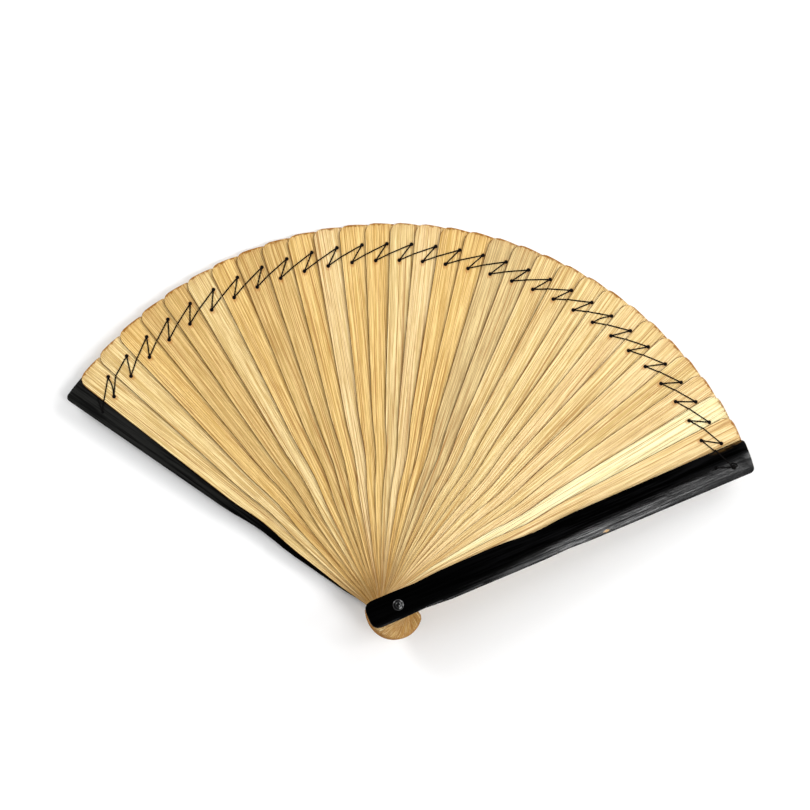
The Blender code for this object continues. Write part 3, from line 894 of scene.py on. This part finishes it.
def thread_mesh(path):
    """The skin of a two-ply thread along a path.

    Where it lies on a face, its flatter side turns back to that face little by little.
    """
    bm = bmesh.new()
    rings = []
    side = UP
    gone = 0.0
    for index in range(0, len(path), RING_EVERY):
        before = path[max(index - 1, 0)]
        after = path[min(index + 1, len(path) - 1)]
        ahead = (after - before).normalized()
        side = side - side.dot(ahead) * ahead
        if side.length < 0.2:  # it lay nearly along the thread
            side = ahead.orthogonal()
        side.normalize()
        upright = UP - ahead.z * ahead
        side += UPRIGHT_PULL * math.copysign(1.0, side.dot(upright)) * upright
        side.normalize()
        other = ahead.cross(side)
        ply = 2 * math.pi * gone / PLY_LENGTH
        ring = []
        for corner in range(THREAD_SIDES):
            angle = 2 * math.pi * corner / THREAD_SIDES
            reach = THREAD_RADIUS * (1 - PLY_GROOVE * (1 - math.cos(2 * (angle - ply))))
            outwards = math.cos(angle) * side + THREAD_SPREAD * math.sin(angle) * other
            ring.append(bm.verts.new(path[index] + reach * outwards))
        rings.append(ring)
        gone += RING_EVERY * THREAD_STEP
    for first, second in zip(rings, rings[1:]):
        bridge(bm, first, second)
    bm.faces.new(list(reversed(rings[0])))
    bm.faces.new(rings[-1])
    bmesh.ops.recalc_face_normals(bm, faces=bm.faces)
    return bm


def lay_thread(name, number, corners, skin, face=None):
    """A thread laid along a path in a stick's own frame; it rides on that stick.

    For a thread between two sticks, face is the height of the face it lies on, where two threads
    share each gap as the fan closes; where face is given, the piece gets its own copy of its mesh.
    """
    stick = STICKS[number]
    path = [point + LIFTS[stick](point) * UP for point in eased(corners)]
    piece = new_piece(name, thread_mesh(path), [skin], FRAMES[stick])
    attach(piece, stick)
    if face is not None:
        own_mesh(piece)
    return piece


def make_lacing():
    """The two lacing threads, one piece of each on every stick, and their knots."""
    skin = thread_cotton()
    for number in range(FRONT + 1):
        above = thickness(number) if number < FRONT else None
        below = 0.0 if number > 0 else None
        front = lay_thread(f"thread_front_{number:02d}", number, front_path(number), skin, above)
        rear = lay_thread(f"thread_rear_{number:02d}", number, rear_path(number), skin, below)
        if number == 0:
            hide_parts("lacing_front")
            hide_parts("lacing_rear")
    over = GUARD_THICKNESS + REST
    lay_thread("knot_front", FRONT, knot_path(OUTER_HOLE, over, 1), skin)
    lay_thread("knot_front_loop", FRONT, loose_loop(OUTER_HOLE, over), skin)
    lay_thread("knot_rear", 0, knot_path(OUTER_HOLE, -REST, -1), skin)


def turned(name, profile, skin):
    """A piece turned about the rivet's axis; the profile gives radius and height."""
    bm = bmesh.new()
    centre = Vector((0.0, 0.0))
    angles = [2 * math.pi * corner / TURNED_SIDES for corner in range(TURNED_SIDES)]
    rings = []
    for radius, height in profile:
        rings.append([bm.verts.new(around(centre, radius, angle, height)) for angle in angles])
    for first, second in zip(rings, rings[1:] + rings[:1]):
        bridge(bm, first, second)
    bmesh.ops.remove_doubles(bm, verts=bm.verts, dist=SAME_PLACE)
    bmesh.ops.recalc_face_normals(bm, faces=bm.faces)
    turn = AXIS.to_track_quat("Z", "Y").to_matrix().to_4x4()
    return new_piece(name, bm, [skin], Matrix.Translation(PIVOT) @ turn)


def make_rivet():
    """The rivet, with its rounded rear head and its closed end, and the domed washer."""
    skin = rivet_metal()
    arc = [math.radians(10 * step) for step in range(10)]  # a quarter turn
    flat = HEAD_RADIUS - HEAD_ROUND
    head = [(0.0, 0.0), (flat, 0.0)]
    head += [(flat + HEAD_ROUND * math.sin(a), HEAD_ROUND * (1 - math.cos(a))) for a in arc]
    shank = [(HEAD_RADIUS, HEAD_HEIGHT), (SHANK_RADIUS, HEAD_HEIGHT), (SHANK_RADIUS, CLOSED_FOOT)]
    end = [(CLOSED_RADIUS * math.cos(a), CLOSED_FOOT + CLOSED_HEIGHT * math.sin(a)) for a in arc]
    rivet = turned("rivet_turned", head + shank + end, skin)
    stand_in(rivet, "pivot_rivet", "rear_guard")
    wide = WASHER_RADIUS - WASHER_BORE
    rim = WASHER_FOOT + WASHER_RIM
    rise = WASHER_HEIGHT - WASHER_RIM
    washer = [(WASHER_BORE, WASHER_FOOT), (WASHER_RADIUS, WASHER_FOOT)]
    washer += [(WASHER_BORE + wide * math.cos(a), rim + rise * math.sin(a)) for a in arc]
    stand_in(turned("washer_turned", washer, skin), "front_washer", "rear_guard")


def make_floor():
    """A plain white floor under the fan's lowest point."""
    bm = bmesh.new()
    bmesh.ops.create_grid(bm, x_segments=2, y_segments=2, size=FLOOR_SIZE)
    made = Nodes("floor_white")
    made.shader.inputs["Base Color"].default_value = (0.94, 0.94, 0.94, 1.0)
    made.shader.inputs["Roughness"].default_value = 0.9
    made.shader.inputs["Specular IOR Level"].default_value = 0.1
    height = cad_box[0].z - FLOOR_GAP
    spot = Matrix.Translation((*FLOOR_MIDDLE, height))
    new_piece("floor", bm, [made.material], spot)


def soft_light(name, place, size, watts):
    """A round soft light aimed at the middle of the fan."""
    data = bpy.data.lights.new(name, "AREA")
    data.shape = "DISK"
    data.size = size
    data.energy = watts
    light = bpy.data.objects.new(name, data)
    aim = (LIGHT_AIM - Vector(place)).to_track_quat("-Z", "Y")
    light.matrix_world = Matrix.Translation(place) @ aim.to_matrix().to_4x4()
    bpy.context.scene.collection.objects.link(light)


def make_light():
    """A white studio: a surround bright low down and dim overhead, and four soft lights."""
    world = bpy.data.worlds.new("studio")
    world.use_nodes = True
    tree = world.node_tree
    coords = tree.nodes.new("ShaderNodeTexCoord")
    parts = tree.nodes.new("ShaderNodeSeparateXYZ")
    fade = tree.nodes.new("ShaderNodeMapRange")
    tree.links.new(coords.outputs["Generated"], parts.inputs[0])
    tree.links.new(parts.outputs["Z"], fade.inputs["Value"])
    for name, value in (("From Min", 0.35), ("From Max", 0.75), ("To Min", 1.40), ("To Max", 0.10)):
        fade.inputs[name].default_value = value
    background = tree.nodes["Background"]
    background.inputs["Color"].default_value = (1.0, 1.0, 1.0, 1.0)
    tree.links.new(fade.outputs["Result"], background.inputs["Strength"])
    bpy.context.scene.world = world
    soft_light("light_front_right", (0.75, -0.24, 1.60), 0.6, 7.5)
    soft_light("light_right", (1.45, 0.35, 1.10), 0.75, 10.5)
    soft_light("light_behind_right", (0.95, 1.25, 1.15), 0.9, 12.0)
    soft_light("light_behind_left", (-1.25, 1.0, 1.15), 0.9, 15.5)
    bpy.context.scene.view_settings.view_transform = "Standard"


aim_camera()
make_floor()
make_light()
make_blades()
# the last colour of each guard is the painted sheen in its lacquer's streaks
make_guard("rear_guard", 3.3, shown(30, 30, 28))
make_guard("front_guard", 6.6, shown(14, 14, 15), RIDGE_CUTS)
make_rivet()
make_lacing()
